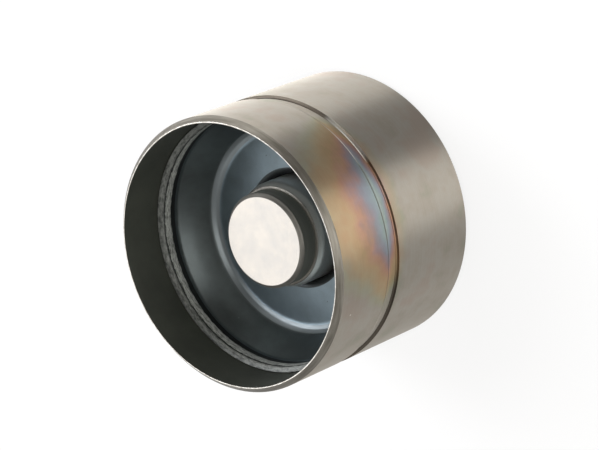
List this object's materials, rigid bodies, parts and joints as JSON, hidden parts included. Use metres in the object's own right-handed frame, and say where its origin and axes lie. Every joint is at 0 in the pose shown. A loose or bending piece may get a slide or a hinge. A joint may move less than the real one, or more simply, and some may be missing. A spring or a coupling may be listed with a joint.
{
  "type": "hydraulic valve lifter",
  "caption": "Hydraulic bucket tappet: ground steel bucket with an oil groove, a pressed guide insert and a sprung hydraulic element whose pad takes the valve stem.",
  "frame": {"origin": "centre of the cam face, the outer face of the crown", "axes": "+Z along the axis of the tappet, from the cam face towards the open mouth; the oil feed hole is on the +Y side"},
  "size_m": [0.035, 0.035, 0.026],
  "materials": {
    "bucket_steel": "ground, with heat tint near the groove",
    "insert_steel": "dark blue-grey satin",
    "cup_steel": "dark satin with a bright ground pad",
    "plunger_steel": "ground",
    "strip_steel": "pressed strip",
    "ball_steel": "polished",
    "spring_steel": "drawn wire",
    "ring_steel": "drawn wire"
  },
  "bodies": {
    "bucket": {"bucket_shell": "bucket_steel", "guide_insert": "insert_steel"},
    "element": {"plunger": "plunger_steel", "ball_retainer": "strip_steel", "check_spring": "spring_steel", "return_spring": "spring_steel"},
    "cup": {"element_cup": "cup_steel", "retaining_ring": "ring_steel"},
    "ball": {"check_ball": "ball_steel"}
  },
  "joints": [
    {"name": "element_spin", "type": "hinge", "parent": "bucket", "child": "element", "pos_m": [0, 0, 0.0065], "axis": [0, 0, 1], "continuous": true},
    {"name": "cup_slide", "type": "slide", "parent": "element", "child": "cup", "axis": [0, 0, 1], "range_m": [-0.0024, 0], "stiffness_N_per_m": 2300, "springref_m": 0.006, "deforming": ["return_spring"]},
    {"name": "ball_lift", "type": "slide", "parent": "element", "child": "ball", "axis": [0, 0, 1], "range_m": [0, 0.0003], "stiffness_N_per_m": 100, "springref_m": -0.001, "deforming": ["check_spring"]}
  ]
}
